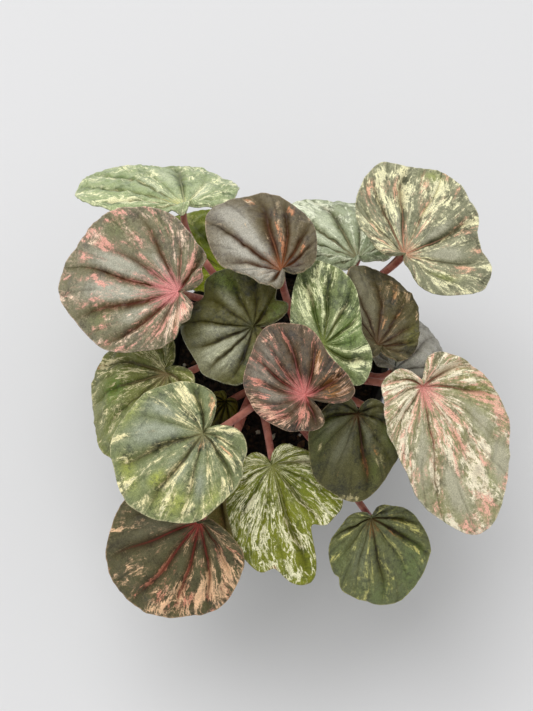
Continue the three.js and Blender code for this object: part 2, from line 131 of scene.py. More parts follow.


# Each blade, as in the solids: its stem, where the petiole joins it, the compass direction and tilt of its
# upper side, the compass heading of its tip, and its oval: long, wide, and how far its middle lies ahead of
# the join. notch = depth and half width of the cleft behind the join, clefts = angle, depth and half width
# of further ones, ruffle = angle, half width and height of waves at its edge.
# Its marks are soft patches, with shares and amounts in percent: (angle from the tip, share of the way out,
# half angle, half share, amount). cream and blush break up into flecks and streaks, amber is ochre, lush is
# clear green, frost is silver that also stands in for painted sheen, and bare keeps a place free of
# cream and blush. net turns flecks into fine lace, silvery is the silver and painted sheen on
# every quilt, crease the painted shade in the veins, stain the brown beside them, and heart the colour round
# the join.
BLADES = {
    "back_left": blade(
        "back_left", (-36, 50, 117), (80, 42), 118, (58, 66, 18),
        ("#465c26", "#95a56f", "#c2c9a9", "#fdfbcc", "#eebc9d", "#bdbf94"),
        notch=(0.8, 24), rise=0.7, clefts=((-75, -0.06, 25), (-30, -0.12, 26)),
        veins=(14, 46, 80, 122, 180, -140, -98, -64, -36, -11), ruffle=((0, 60, 1.0), (150, 24, 1.2)),
        core="#e7e299", cream_all=0.72, crease=0.6, shine=0.55, lush_colour="#5a7e3d",
        cream=((80, 72, 26, 30, 115), (45, 70, 18, 25, 105), (-45, 55, 13, 24, 102), (-76, 70, 18, 30, 90),
            (0, 85, 12, 12, 75), (170, 30, 40, 20, 110)),
        blush=((97, 42, 12, 18, 100), (130, 35, 20, 20, 95)),
        lush=((15, 60, 6, 25, 100), (-15, 80, 10, 14, 80), (-60, 85, 10, 14, 70)),
        frost=((12, 35, 10, 20, 90), (-75, 30, 15, 20, 80), (-22, 50, 7, 25, 60)),
        bare=((30, 40, 12, 30, 70), (-30, 45, 10, 25, 70)),
    ),
    "left_back": blade(
        "back_left", (-36, 6, 136), (205, 25), 166, (61, 54, 19),
        ("#382907", "#655e36", "#aba999", "#fddcc2", "#ecab9b", "#59210a"),
        skew=-0.04, bow=-8, clefts=((-45, -0.03, 30), (128, 0.14, 16)),
        veins=(-2, 28, 60, 92, 132, 180, -140, -96, -58, -24), ruffle=((-150, 26, 2.3), (144, 20, 2.0)),
        core="#de8f8b", cream_all=0.48, blush_all=0.6, lush_colour="#5a6209", stain=0.6, shine=0.5,
        vein_reach=1.0, vein_width=0.55, heart=1.0, heart_size=0.3,
        cream=((125, 68, 28, 38, 108), (-102, 78, 14, 26, 105), (70, 80, 12, 20, 85),
            (-150, 60, 14, 40, 100), (-30, 85, 8, 10, 70), (152, 80, 14, 25, 130)),
        blush=((100, 60, 12, 45, 115), (72, 55, 10, 30, 100), (-130, 62, 14, 40, 120),
            (-100, 45, 8, 20, 105), (3, 62, 4, 22, 110), (-8, 83, 5, 10, 110), (-25, 97, 5, 5, 120),
            (-38, 92, 4, 5, 120), (-60, 70, 6, 10, 120), (172, 50, 22, 40, 120), (146, 72, 18, 34, 155)),
        lush=((-40, 80, 9, 13, 100), (38, 76, 8, 15, 100), (-76, 80, 7, 12, 80)),
        frost=((-14, 55, 9, 25, 110), (14, 50, 10, 25, 110), (-50, 30, 10, 15, 90), (45, 45, 9, 20, 60)),
    ),
    "back_low": blade(
        "back_left", (-17, 32, 92), (110, 22), 119, (56, 42, 17),
        ("#535c07", "#99a707", "#b1b953", "#e0e07e", "#c6c653", "#a7ae44"),
        cream_all=0.6, shine=0.1, lush_colour="#627307",
        cream=((0, 80, 60, 30, 85), (90, 70, 40, 30, 80), (-90, 70, 40, 30, 80)),
        lush=((0, 40, 90, 35, 90),),
    ),
    "top_back": blade(
        "back_right", (1, 7, 153), (110, 10), 128, (47, 43, 15),
        ("#2b1807", "#564823", "#a9a599", "#e2c6a1", "#cc8a62", "#804c25"),
        relief=1.15, clefts=((80, 0.45, 55),), veins=(16, 52, 95, 138, 180, -146, -112, -84, -54, -28),
        core="#a5653f", cream_all=0.25, stain=0.45, shine=0.75, silvery=0.2, vein_width=0.5,
        cream=((105, 70, 48, 32, 82), (-60, 86, 6, 7, 100), (-20, 90, 5, 6, 100)),
        blush=((-40, 50, 6, 24, 120), (-60, 84, 7, 9, 110), (-22, 90, 6, 7, 110), (-105, 60, 16, 12, 115),
            (-48, 30, 8, 16, 100), (52, 50, 3, 30, 90)),
        frost=((2, 55, 10, 36, 150), (30, 55, 15, 30, 110), (105, 60, 50, 42, 120)),
    ),
    "back": blade(
        "back_right", (30.2, 25, 123), (85, 30), 105, (53, 49, 18),
        ("#333a07", "#7e8a62", "#c4caaf", "#eef2d8", "#d4bc9d", "#968e66"),
        skew=0.12, comes=(0, 4), clefts=((148, 0.08, 10),), cream_all=0.66, shine=0.5, lush_colour="#3f5c1a",
        cream=((28, 74, 36, 26, 102), (0, 90, 60, 10, 95), (75, 60, 20, 30, 90)),
        blush=((30, 50, 3, 30, 90),),
        lush=((-40, 40, 10, 13, 120), (-135, 60, 18, 30, 90), (60, 40, 10, 20, 70)),
        frost=((30, 50, 40, 30, 80),),
    ),
    "back_right": blade(
        "back_right", (46, 19, 140), (350, 12), 53, (51, 59, 11),
        ("#363a1a", "#76785a", "#aba993", "#fdf8ca", "#ecb597", "#b78769"),
        notch=(0.9, 55), bow=4, hook=0.42,
        clefts=((-37, 0.2, 13), (-74, -0.05, 14), (48, -0.05, 20), (108, 0.14, 32)),
        veins=(14, 44, 72, 99, 130, 180, -106, -70, -30), ruffle=((95, 26, 1.1), (-70, 30, 1.1)),
        core="#d79e80", cream_all=0.74, blush_all=0.56, net=0.15, shine=0.45, lush_colour="#9da946",
        cream=((12, 80, 10, 20, 130), (-10, 75, 7, 18, 120), (31, 85, 6, 12, 115), (46, 50, 12, 17, 110),
            (-46, 78, 12, 22, 110), (-110, 78, 14, 22, 112), (75, 60, 12, 25, 95), (60, 85, 12, 14, 100),
            (-85, 85, 10, 14, 90)),
        blush=((80, 87, 12, 10, 120), (105, 65, 7, 20, 115), (15, 50, 3, 26, 130), (-75, 65, 4, 20, 130),
            (60, 72, 8, 18, 100), (128, 60, 8, 25, 110), (35, 65, 4, 16, 95)),
        lush=((20, 90, 9, 8, 80), (-100, 60, 8, 12, 80)),
        frost=((-22, 40, 9, 18, 120), (-58, 47, 10, 20, 120), (55, 30, 9, 14, 70)),
        bare=((-22, 40, 8, 16, 100), (-60, 46, 9, 18, 100)),
    ),
    "middle_left": blade(
        "back_left", (-9, -6, 132), (200, 18), 166, (41, 45, 6.5),
        ("#070707", "#4f4a07", "#a3a38a", "#cbcba9", "#93935c", "#312607"),
        clefts=((42, 0.06, 14), (-20, 0.16, 9), (-120, 0.26, 13), (-150, -0.1, 20)),
        veins=(8, 38, 70, 102, 140, 180, -140, -98, -60, -24), ruffle=((-100, 40, 1.0),), core="#414116",
        cream_all=0.1, crease=0.5, shine=0.5, silvery=0.15, lush_colour="#5a6b09",
        cream=((62, 60, 22, 26, 95), (85, 75, 14, 16, 75)),
        lush=((-55, 80, 14, 24, 100), (-155, 75, 14, 26, 100), (-112, 96, 26, 7, 120),
            (130, 80, 20, 20, 60)),
        frost=((60, 55, 30, 34, 140), (20, 50, 9, 25, 70), (-40, 45, 9, 20, 50)),
    ),
    "middle_right": blade(
        "back_right", (16, -16, 141), (270, 12), 97, (53, 29, 2),
        ("#122307", "#566526", "#b1b98e", "#f4f6c4", "#d4ca93", "#7b8742"),
        skew=-0.28, fold=0.3, clefts=((-78, 0.26, 34),),
        veins=(-16, 10, 40, 82, 132, 180, -150, -112, -74, -42), core="#97a158", cream_all=0.68, net=0.15,
        shine=0.35, lush_colour="#4d7607",
        cream=((24, 62, 34, 38, 110), (-152, 70, 14, 26, 110), (-45, 30, 5, 7, 120), (80, 70, 20, 30, 95)),
        lush=((-90, 60, 34, 50, 90), (10, 45, 5, 30, 90)),
        frost=((-45, 28, 12, 13, 120), (35, 50, 14, 30, 70)),
    ),
    "top_middle": blade(
        "front_right", (9, -38, 150), (230, 16), 112, (39, 40, 7),
        ("#120707", "#483312", "#80786b", "#eec2a5", "#de9584", "#8c4439"),
        skew=-0.1, notch=(0, 24), clefts=((-62, 0.36, 36), (-146, 0.72, 15)),
        veins=(-9, 16, 37, 60, 96, 138, 180, -146, -106, -48), ruffle=((-120, 34, 1.9), (150, 20, 1.1)),
        core="#d4817b", blush_all=0.42, cream_all=0.12, net=0.25, stain=0.35, shine=0.5, heart=1.0,
        heart_size=0.34, vein_reach=1.0, lush_colour="#69601a",
        cream=((120, 85, 55, 18, 100), (-60, 62, 16, 20, 85), (-118, 80, 30, 18, 105), (12, 86, 8, 8, 90)),
        blush=((118, 76, 58, 28, 112), (15, 45, 7, 20, 110), (12, 86, 8, 8, 100), (-8, 72, 3, 26, 135),
            (160, 50, 26, 30, 115), (60, 70, 6, 25, 95)),
        amber=((-60, 66, 18, 24, 120), (-118, 66, 34, 42, 130)),
        frost=((45, 72, 16, 22, 120), (78, 55, 14, 20, 110), (20, 72, 12, 20, 80)),
    ),
    "right_folded": blade(
        "back_right", (36, -13, 132), (20, 22), 95, (42, 31, 11.5),
        ("#090707", "#463d1a", "#78735c", "#e0be93", "#bc8e62", "#6a4d2e"),
        skew=-0.15, fold=0.35, clefts=((-75, 0.1, 30), (-32, 0.08, 14)),
        veins=(-11, 20, 56, 102, 180, -150, -114, -76, -42), core="#654a2b", cream_all=0.34, stain=0.25,
        shine=0.5, silvery=0.3, lush_colour="#6f711a",
        cream=((-25, 74, 14, 25, 96), (-68, 90, 9, 8, 105), (50, 92, 24, 6, 115), (-45, 90, 12, 10, 90)),
        blush=((-24, 70, 12, 27, 100), (-20, 30, 10, 12, 100), (-48, 55, 9, 20, 85)),
        lush=((-100, 80, 26, 20, 70),),
        frost=((10, 60, 12, 36, 140), (38, 60, 14, 30, 100)),
    ),
    "right_low": blade(
        "back_right", (43, -17, 116), (30, 38), 42, (47, 37, 14),
        ("#534f46", "#848076", "#c6c2b7", "#ccc8be", "#9d9382", "#444c45"),
        clefts=((-146, 0.14, 12),), shine=0.6, lush_colour="#737862",
        cream=((0, 90, 60, 10, 70),),
        frost=((0, 50, 20, 40, 90),),
    ),
    "front_right": blade(
        "front_right", (51, -30, 135), (320, 24), 298, (63, 50, 20),
        ("#4a441d", "#868653", "#b5b199", "#fdf2d6", "#f4b9a5", "#ae6e5a"),
        skew=0.06, clefts=((-55, 0.18, 34), (-36, 0.05, 12), (1, -0.07, 12), (-125, -0.14, 24)),
        veins=(-17, 13, 43, 74, 114, 180, -150, -112, -70, -40), ruffle=((130, 26, 1.1), (-90, 30, 0.9)),
        core="#e1978c", cream_all=0.84, blush_all=0.84, shine=0.4, heart=1.0, heart_size=0.22,
        lush_colour="#99a34d",
        cream=((0, 55, 70, 60, 98), (-75, 60, 30, 50, 100), (-130, 60, 40, 50, 120), (120, 60, 40, 50, 115),
            (85, 72, 22, 30, 105), (62, 35, 16, 20, 90)),
        blush=((132, 40, 20, 24, 130), (-168, 32, 16, 18, 125), (0, 38, 7, 26, 120), (-17, 45, 3, 22, 135),
            (6, 70, 6, 32, 115), (-45, 80, 8, 12, 105), (0, 96, 14, 6, 115), (-75, 45, 14, 24, 100),
            (40, 35, 8, 20, 95), (72, 50, 5, 30, 95)),
        amber=((30, 66, 6, 8, 125), (55, 85, 6, 10, 100), (48, 30, 6, 16, 95)),
        lush=((88, 74, 24, 24, 100), (20, 85, 8, 12, 70)),
        frost=((-5, 70, 6, 16, 120), (45, 60, 8, 14, 120), (32, 88, 12, 12, 120), (-30, 60, 8, 30, 80)),
        bare=((-6, 70, 5, 15, 120), (46, 60, 8, 13, 120), (32, 88, 11, 10, 120), (-29, 62, 6, 28, 60)),
    ),
    "front_middle": blade(
        "front_right", (28, -39, 132), (280, 22), 268, (37, 34, 11.5),
        ("#070707", "#484416", "#6b6b53", "#c6b988", "#b17c46", "#381b05"),
        clefts=((38, 0.08, 20),), veins=(13, 48, 90, 136, 180, -140, -95, -50, -19), core="#533105",
        cream_all=0.16, shine=0.5, lush_colour="#4f5c07",
        cream=((32, 74, 9, 14, 105), (-57, 78, 4, 6, 120), (0, 96, 12, 5, 95), (70, 90, 20, 8, 70)),
        amber=((13, 50, 3.5, 42, 135), (34, 55, 5, 18, 110), (90, 60, 4, 20, 70)),
        lush=((-70, 68, 22, 28, 100), (70, 70, 18, 20, 70), (24, 75, 8, 16, 70)),
        frost=((-25, 42, 10, 24, 120), (-70, 50, 14, 26, 80), (30, 30, 9, 15, 70)),
    ),
    "front_low": blade(
        "front_left", (34, -70, 104), (285, 30), 282, (39, 38, 14),
        ("#120707", "#515312", "#73785c", "#d2cc7a", "#8e7c44", "#382705"),
        skew=0.08, notch=(0.7, 33), clefts=((-38, 0.08, 4),), core="#594112", cream_all=0.45, shine=0.5,
        silvery=0.55, lush_colour="#5a7027",
        cream=((80, 80, 18, 20, 110), (-10, 66, 2.5, 30, 105), (-38, 90, 6, 8, 80), (48, 85, 10, 10, 85)),
        amber=((0, 12, 70, 13, 100), (52, 36, 9, 20, 105), (100, 50, 20, 30, 80)),
        lush=((38, 78, 26, 26, 115), (-6, 85, 20, 18, 80), (-60, 80, 24, 20, 50)),
        frost=((-28, 50, 12, 25, 50),),
    ),
    "front_lobed": blade(
        "front_left", (-2, -54, 118), (265, 22), 285, (52, 42, 18),
        ("#414a07", "#767c09", "#8e914d", "#fdf8d4", "#c6be7e", "#9a9b54"),
        relief=0.6, clefts=((16, 0.36, 9), (30, 0.16, 12), (-15, 0.1, 5)), core="#979751", cream_all=0.72,
        shine=0.15, net=0.34, silvery=0.3, lush_colour="#627307", rim="#8a7a4a",
        cream=((-45, 60, 48, 42, 120), (105, 74, 46, 26, 110), (-4, 90, 12, 14, 120), (38, 90, 14, 10, 100),
            (-100, 70, 30, 30, 100), (140, 40, 20, 20, 80)),
        amber=((-22, 98, 6, 3, 120), (-48, 98.5, 20, 2, 100), (14, 97, 6, 3, 100)),
        lush=((60, 50, 34, 30, 80), (-60, 30, 30, 20, 80)),
    ),
    "front_left": blade(
        "front_right", (-26, -48, 138), (220, 18), 215, (51, 48, 11),
        ("#1a2307", "#6f7848", "#999f8a", "#fdf2bc", "#eeb78a", "#4a4726"),
        clefts=((2, 0.06, 18),), veins=(20, 48, 76, 106, 142, 180, -142, -104, -62, -22),
        ruffle=((-150, 20, 1.2), (140, 22, 1.0)), core="#867e51", cream_all=0.66, crease=0.7, shine=0.6,
        silvery=0.25, lush_colour="#adb533",
        cream=((-125, 70, 26, 32, 125), (52, 82, 11, 18, 115), (75, 52, 7, 10, 115), (120, 68, 13, 30, 105),
            (170, 60, 10, 22, 95), (92, 80, 12, 16, 95), (-95, 80, 10, 16, 90), (20, 85, 12, 10, 80),
            (35, 50, 8, 20, 75)),
        blush=((-162, 80, 8, 24, 130), (124, 62, 9, 22, 95), (60, 12, 60, 10, 80)),
        lush=((10, 60, 6, 10, 120), (-12, 85, 16, 10, 70), (36, 78, 14, 16, 80), (75, 85, 18, 12, 60),
            (-70, 94, 20, 6, 50)),
        frost=((-45, 50, 13, 26, 130), (-78, 60, 10, 22, 100), (22, 40, 12, 16, 100), (62, 60, 8, 20, 60)),
        bare=((-141, 82, 6, 8, 140), (-44, 50, 12, 30, 80)),
    ),
    "left": blade(
        "back_left", (-41, -17, 112), (190, 35), 206, (52, 54, 14),
        ("#2e2e07", "#6d7129", "#82845e", "#eadeaf", "#bc9f7a", "#827344"),
        core="#9d865c", cream_all=0.6, net=0.3, shine=0.3, lush_colour="#5e7e20", vein_width=0.5,
        cream=((-90, 70, 32, 24, 105), (-35, 58, 2.5, 18, 130), (-60, 85, 10, 10, 90),
            (-130, 75, 20, 20, 90)),
        amber=((-118, 50, 3, 40, 110), (-138, 50, 3, 40, 110), (-57, 95, 3, 7, 140)),
        lush=((-25, 65, 16, 22, 120), (20, 70, 30, 30, 80)),
        frost=((-22, 90, 30, 16, 80), (10, 70, 24, 30, 50)),
    ),
    "front_left_low": blade(
        "front_left", (-28, -73, 112), (245, 32), 234, (52, 58, 13),
        ("#292007", "#4f4a29", "#736f58", "#f2c69d", "#de9178", "#813024"),
        notch=(0.9, 75), clefts=((-17, -0.12, 18), (60, 0.08, 20)),
        veins=(-3, 25, 52, 84, 122, 180, -120, -72, -36), ruffle=((60, 40, 0.9),), core="#b25146",
        cream_all=0.4, lush_colour="#414620", stain=0.3, shine=0.2, net=0.22, silvery=0.3, heart=0.9,
        vein_width=0.6, vein_reach=1.0,
        cream=((65, 74, 62, 40, 132), (-25, 95, 8, 5, 100), (-62, 88, 16, 6, 80), (110, 60, 20, 40, 100)),
        blush=((62, 72, 60, 38, 110), (-4, 50, 3, 50, 140), (24, 50, 2.5, 40, 125)),
        lush=((50, 55, 10, 12, 50),),
        frost=((-50, 50, 20, 30, 50),),
        bare=((38, 62, 5, 12, 120), (68, 66, 6, 12, 120), (95, 72, 7, 10, 120), (52, 90, 6, 6, 120)),
    ),
    "young": blade(
        "front_left", (-20, -19, 84), (250, 12), 235, (16, 14, 4),
        ("#090707", "#5e5807", "#696738", "#9d9962", "#735a31", "#2a2a05"),
        cream_all=0.3, shine=0.2,
    ),
    "skirt_back": blade(
        "back_right", (15, 44, 98), (83, 54), 84, (44, 40, 13),
        ("#3d491e", "#646e48", "#8e957d", "#d0d1a5", "#c19379", "#665639"),
        shine=0.35,
        cream=((40, 70, 30, 30, 100), (-70, 75, 26, 25, 95), (-20, 85, 16, 14, 85)),
        blush=((60, 80, 16, 20, 100), (-100, 60, 14, 30, 95)),
        lush=((0, 60, 12, 30, 80),),
        frost=((-30, 50, 14, 30, 80),),
    ),
    "skirt_left": blade(
        "back_left", (-50, 31, 98), (165, 42), 160, (42, 40, 13),
        ("#354014", "#5a663c", "#848d71", "#c9cb98", "#b0886c", "#625135"),
        bow=12, shine=0.35,
        cream=((-30, 72, 24, 25, 100), (60, 70, 30, 30, 95)),
        blush=((80, 75, 14, 20, 95),),
        lush=((15, 75, 16, 20, 90),),
        frost=((0, 45, 20, 25, 80),),
    ),
    "skirt_right": blade(
        "front_right", (56, -33, 98), (350, 40), 340, (44, 40, 13),
        ("#404321", "#666d4d", "#8c907d", "#d7cfa7", "#c18f79", "#6c543e"),
        shine=0.35,
        cream=((30, 70, 26, 28, 105), (-80, 70, 30, 30, 100)),
        blush=((45, 80, 14, 20, 105), (-60, 60, 10, 30, 95)),
        frost=((-20, 50, 18, 30, 90),),
    ),
    "skirt_front": blade(
        "front_left", (-22, -51, 92), (250, 30), 250, (40, 38, 12),
        ("#382907", "#71652b", "#999167", "#c6b182", "#9d7356", "#493215"),
        cream_all=0.4, shine=0.3,
        cream=((60, 80, 24, 20, 90),),
        amber=((20, 60, 14, 30, 80),),
        lush=((-40, 60, 26, 30, 70),),
    ),
    "skirt_back_right": blade(
        "back_right", (52, 42, 100), (60, 48), 55, (42, 40, 12),
        ("#3a4318", "#5f6a41", "#878f75", "#cdcd9d", "#b98f75", "#645437"),
        shine=0.35,
        cream=((-50, 70, 26, 28, 100), (45, 75, 20, 20, 95)),
        blush=((-75, 70, 12, 25, 100),),
        lush=((10, 70, 14, 20, 80),),
        frost=((30, 50, 18, 25, 80),),
    ),
}


def srgb(code):
    """A colour written as #rrggbb, in the shader's own linear numbers."""
    parts = [int(code[i:i + 2], 16) / 255 for i in (1, 3, 5)]
    linear = [c / 12.92 if c <= 0.04045 else ((c + 0.055) / 1.055) ** 2.4 for c in parts]
    return (*linear, 1.0)


class Skin:
    """A material in the making: its nodes, and the colour that is laid on so far."""

    def __init__(self, name):
        self.material = bpy.data.materials.new(name)
        self.material.use_nodes = True
        self.tree = self.material.node_tree
        self.shader = self.tree.nodes["Principled BSDF"]
        self.colour = None

    def feed(self, socket, value):
        if isinstance(value, bpy.types.NodeSocket):
            self.tree.links.new(value, socket)
        else:
            socket.default_value = srgb(value) if isinstance(value, str) else value

    def node(self, kind, inputs, output=0, **settings):
        made = self.tree.nodes.new("ShaderNode" + kind)
        for key, value in settings.items():
            setattr(made, key, value)
        for key, value in inputs.items():
            self.feed(made.inputs[key], value)
        return made.outputs[output]

    def place(self):
        return self.node("TexCoord", {}, "Object")

    def reading(self, name, output="Fac"):
        return self.node("Attribute", {}, output, attribute_name=name)

    def noise(self, where, scale, detail=4, roughness=0.6, distortion=0.0):
        return self.node("TexNoise", {
            "Vector": where, "Scale": scale, "Detail": detail,
            "Roughness": roughness, "Distortion": distortion,
        })

    def math(self, operation, a, b=0.0):
        return self.node("Math", {0: a, 1: b}, operation=operation)

    def plus(self, a, b):
        return self.math("ADD", a, b)

    def times(self, a, b):
        return self.math("MULTIPLY", a, b)

    def weigh(self, *pairs):
        """The sum of some values, each times its weight."""
        parts = [self.times(value, weight) for value, weight in pairs]
        total = parts[0]
        for part in parts[1:]:
            total = self.plus(total, part)
        return total

    def step(self, value, low, high, first=0.0, last=1.0):
        return self.node("MapRange", {
            "Value": value, "From Min": low, "From Max": high, "To Min": first, "To Max": last,
        }, interpolation_type="SMOOTHSTEP")

    def blend(self, a, b, amount, how="MIX"):
        made = self.tree.nodes.new("ShaderNodeMix")
        made.data_type = "RGBA"
        made.blend_type = how
        self.feed(made.inputs[0], amount)
        self.feed(made.inputs[6], a)
        self.feed(made.inputs[7], b)
        return made.outputs[2]

    def start(self, a, b, amount):
        """The ground colour, between two tones."""
        self.colour = self.blend(a, b, amount)

    def lay(self, colour, amount, how="MIX"):
        """One more colour over what is there."""
        self.colour = self.blend(self.colour, colour, amount, how)

    def bump(self, height, strength, distance):
        normal = self.node("Bump", {"Height": height, "Strength": strength, "Distance": distance})
        self.feed(self.shader.inputs["Normal"], normal)

    def surface(self, **values):
        self.feed(self.shader.inputs["Base Color"], self.colour)
        for name, value in values.items():
            self.feed(self.shader.inputs[name.replace("_", " ")], value)
        return self.material


def leaf_grains(skin):
    """The noises that break up a leaf's colours: rays run out from the join, flat follows the surface."""
    flat = skin.reading("flat", "Vector")
    rays = skin.reading("grain", "Vector")
    streaks = skin.noise(rays, 14, 6, 0.62, 0.6)
    flecks = skin.noise(flat, 0.7, 6, 0.66, 0.8)
    veil = skin.noise(rays, 9, 5, 0.58, 0.8)
    clouds = skin.noise(flat, 0.13, 3, 0.55)
    dust = skin.noise(flat, 2.6, 3, 0.7)
    creping = skin.noise(flat, 1.1, 4, 0.6)
    return SimpleNamespace(
        streaks=streaks,
        flecks=flecks,
        dust=dust,
        clumps=skin.noise(rays, 5, 2, 0.5),
        lace=skin.weigh((veil, 0.6), (streaks, 0.4)),
        tone=skin.weigh((clouds, 0.6), (flecks, 0.4)),
        crepe=skin.weigh((creping, 0.7), (dust, 0.3)),
        fine=skin.noise(rays, 17, 6, 0.66, 0.4),
        fine_clumps=skin.noise(rays, 6, 2, 0.5),
    )


def lay_ground(skin, leaf, grain):
    """The green ground in two tones, clear green patches, and silver on the quilts that is partly the leaf's
    silver and partly painted sheen.
    """
    skin.start(leaf["deep"], leaf["fresh"], skin.step(grain.tone, 0.34, 0.54))
    lush = skin.times(skin.reading("lush"), skin.step(grain.flecks, 0.38, 0.56, 0.3, 1.0))
    skin.lay(leaf.get("lush_colour", CLEAR_GREEN), lush)
    # Painted sheen: silver laid on the quilt tops, partly the leaf's own silver and partly a painted
    # highlight.
    quilts = skin.step(skin.reading("ridge"), 0.2, 0.95)
    silver = skin.times(quilts, skin.step(grain.flecks, 0.3, 0.6, 0.6, 1.0))
    silver = skin.times(silver, skin.plus(skin.reading("frost"), leaf.get("silvery", 0.3)))
    skin.lay(leaf["silver"], skin.math("MINIMUM", silver, 0.95))


def mottle(skin, kind, clumps, streaks, grain, net):
    """How far a mark covers the skin: clumps of streaks and flecks, or a net, each with a soft halo."""
    off_line = skin.math("ABSOLUTE", skin.plus(grain.lace, -0.5))
    lines = skin.step(off_line, 0.06, 0.0, 0.25, 0.9)
    loose = skin.weigh((streaks, 0.6), (grain.flecks, 0.4))
    grainy = skin.weigh((loose, 1 - net), (lines, net))
    mask = skin.reading(kind)
    level = skin.weigh((grainy, GRAIN_WEIGHT), (clumps, CLUMP_WEIGHT), (mask, MASK_WEIGHT))
    level = skin.plus(level, MARK_LEVEL)
    halo = skin.step(level, 0.2, 0.6, 0.0, 0.3)
    return skin.plus(halo, skin.step(level, 0.48, 0.64, 0.0, 0.65))


def lay_marks(skin, leaf, grain):
    """Ochre, then pink, then cream marks, the cream worn back to silver in places."""
    net = leaf.get("net", 0.1)
    amber = mottle(skin, "amber", grain.clumps, grain.streaks, grain, 0.1)
    skin.lay(OCHRE, skin.times(amber, 0.9))
    blush = mottle(skin, "blush", grain.fine_clumps, grain.fine, grain, net * 0.6)
    skin.lay(leaf["flush"], skin.times(blush, 0.92))
    cream = mottle(skin, "cream", grain.clumps, grain.streaks, grain, net)
    worn = skin.blend(leaf["pale"], leaf["silver"], skin.step(grain.fine, 0.42, 0.64, 0.0, 0.55))
    skin.lay(worn, skin.times(cream, 0.95))


def lay_veins(skin, leaf, grain):
    """Painted shade in the veins and furrows, painted highlight on the quilt tops, a stain and a coloured
    line along the veins, and the coloured heart.
    """
    share = skin.reading("share")
    apart = skin.reading("apart")
    # Painted shade and highlight: the colour multiplied darker down in the furrows and lighter on the quilt
    # tops.
    rise = skin.step(skin.reading("ridge"), 0.0, 0.95)
    skin.lay(skin.blend((0.38, 0.31, 0.2, 1.0), (1.16, 1.16, 1.14, 1.0), rise), 1.0, "MULTIPLY")
    # Painted shade: the main veins and, fainter, the forked veins darkened towards the leaf's deep tone.
    crease = skin.times(skin.step(apart, 0.9, 0.0), skin.step(share, 0.98, 0.2, 0.1, 0.75))
    branch_shade = skin.times(skin.step(skin.reading("branch"), 0.9, 0.0), 0.3)
    painted_vein_shade = skin.times(skin.math("MAXIMUM", crease, branch_shade), leaf.get("crease", 1.0))
    skin.lay(skin.blend(leaf["deep"], (0.0, 0.0, 0.0, 1.0), 0.25), painted_vein_shade)
    fading = skin.step(share, 0.95, 0.25, 0.0, leaf.get("stain", 0.0))
    skin.lay(VEIN_BROWN, skin.times(skin.step(apart, 2.8, 0.2), fading))
    fading = skin.step(share, leaf.get("vein_reach", 0.75), 0.1, 0.0, 0.75)
    skin.lay(leaf["vein"], skin.times(skin.step(apart, leaf.get("vein_width", 0.4), 0.06), fading))
    spread = skin.plus(share, skin.times(skin.plus(grain.streaks, -0.5), -0.8))
    heart = skin.step(spread, leaf.get("heart_size", 0.16), 0.03)
    skin.lay(leaf.get("core", leaf["vein"]), skin.times(heart, leaf.get("heart", 0.7)))


def lay_rim_and_dust(skin, leaf, grain):
    """The pale rim, fine specks over all, and the creping of the surface."""
    edge = skin.step(skin.reading("share"), 0.978, 0.997)
    rim = skin.times(edge, skin.step(grain.flecks, 0.38, 0.6, 0.05, 0.5))
    skin.lay(leaf.get("rim", leaf["pale"]), rim)
    speck = skin.step(grain.dust, 0.3, 0.72, 0.72, 1.3)
    skin.lay(skin.node("CombineColor", {0: speck, 1: speck, 2: speck}), 1.0, "MULTIPLY")
    skin.bump(grain.crepe, 0.45, 0.0006)


def leaf_skin(name, leaf):
    """Upper side of a blade: green with silvery quilts that are partly painted sheen, painted shade in the
    veins and furrows, and cream and pink marks.
    """
    skin = Skin("leaf_" + name)
    grain = leaf_grains(skin)
    lay_ground(skin, leaf, grain)
    lay_marks(skin, leaf, grain)
    lay_veins(skin, leaf, grain)
    lay_rim_and_dust(skin, leaf, grain)
    gloss = skin.step(grain.dust, 0.25, 0.75, 0.33, 0.48)
    return skin.surface(
        Roughness=gloss, Specular_IOR_Level=0.2,
        Coat_Weight=0.12 * leaf["shine"], Coat_Roughness=0.22,
    )


def underside_skin(name, leaf):
    """Underside of a blade: paler, dull, with raised pinkish veins."""
    skin = Skin("under_" + name)
    flat = skin.reading("flat", "Vector")
    patchy = skin.step(skin.noise(flat, 0.25, 4, 0.6), 0.3, 0.7)
    skin.start("#8f9a68", leaf["silver"], skin.times(patchy, 0.7))
    line = skin.step(skin.reading("apart"), 0.9, 0.15)
    fading = skin.step(skin.reading("share"), 1.0, 0.05, 0.1, 0.9)
    skin.lay("#b9776a", skin.times(line, fading))
    skin.bump(skin.noise(flat, 1.4, 3, 0.6), 0.3, 0.0005)
    return skin.surface(Roughness=0.55)


def petiole_skin():
    """Dusty pink stalk with fine paler dots."""
    skin = Skin("petiole_skin")
    where = skin.place()
    skin.start("#9c5046", "#c8806f", skin.step(skin.noise(where, 160, 3, 0.6), 0.35, 0.65))
    dots = skin.step(skin.noise(where, 900, 2, 0.6), 0.6, 0.7)
    skin.lay("#d79a8c", skin.times(dots, 0.5))
    skin.bump(skin.noise(where, 700, 2, 0.5), 0.15, 0.0003)
    return skin.surface(Roughness=0.42, Coat_Weight=0.08, Coat_Roughness=0.3)


def soil_mix():
    """Dark potting mix, with painted shade between its crumbs."""
    skin = Skin("potting_mix")
    where = skin.place()
    crumbs = skin.node("TexVoronoi", {"Vector": where, "Scale": 520.0}, "Distance")
    tone = skin.noise(where, 240, 5, 0.7)
    skin.start("#17110d", "#4a3627", skin.step(tone, 0.38, 0.72))
    # Painted shade: the gaps between crumbs darkened.
    skin.lay("#0d0a08", skin.step(crumbs, 0.25, 0.8))
    skin.bump(skin.plus(skin.times(crumbs, -1.0), tone), 0.7, 0.0012)
    return skin.surface(Roughness=0.95)


